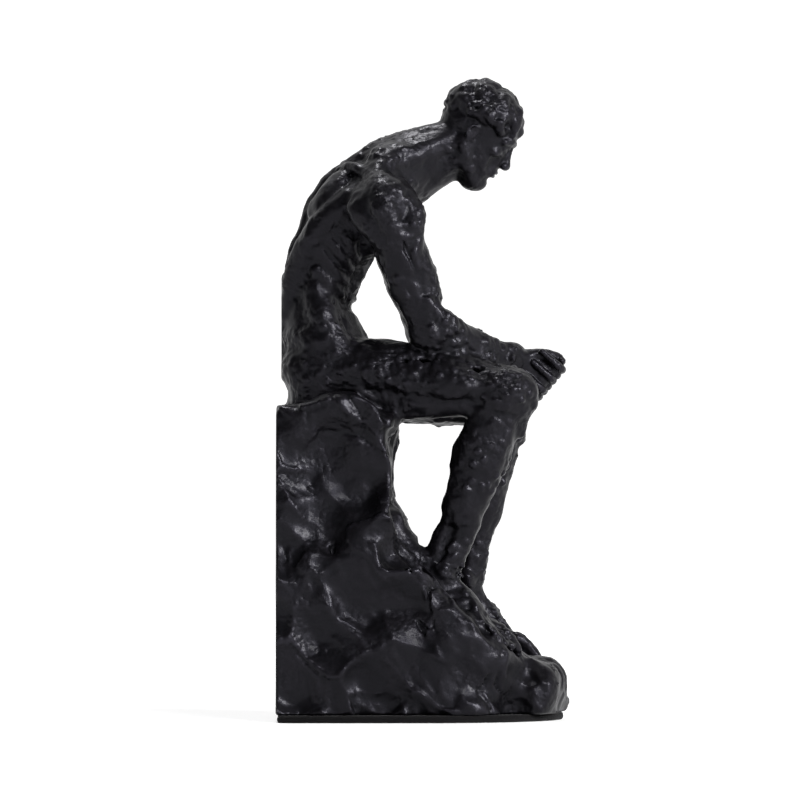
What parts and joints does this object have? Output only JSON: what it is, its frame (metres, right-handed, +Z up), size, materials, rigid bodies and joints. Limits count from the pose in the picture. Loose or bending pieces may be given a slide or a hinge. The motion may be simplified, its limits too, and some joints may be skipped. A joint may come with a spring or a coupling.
{
  "type": "thinker statue",
  "caption": "Seated human figure, bent forward in thought with clasped hands, on a rough rock with a flat back; a cast statue that also holds up books.",
  "frame": {"origin": "centre of the footprint's bounding box, on the surface that the statue stands on", "axes": "+Z up, +X the way the figure faces, so -X is the flat back and -Y is the figure's right side"},
  "size_m": [0.096, 0.084, 0.21],
  "materials": {
    "cast_resin": "satin",
    "felt": "matte",
    "ballast": "as cast",
    "dowel": "drawn"
  },
  "bodies": {
    "root": {"rock_base": "cast_resin", "torso": "cast_resin", "head": "cast_resin", "right_arm": "cast_resin", "left_arm": "cast_resin", "clasped_hands": "cast_resin", "right_leg": "cast_resin", "left_leg": "cast_resin", "filler_plug": "cast_resin", "base_pad": "felt", "ballast_block": "ballast", "neck_dowel": "dowel", "shoulder_dowels": "dowel", "wrist_dowels": "dowel", "hip_dowels": "dowel", "seat_dowels": "dowel", "foot_dowels": "dowel"}
  },
  "joints": []
}
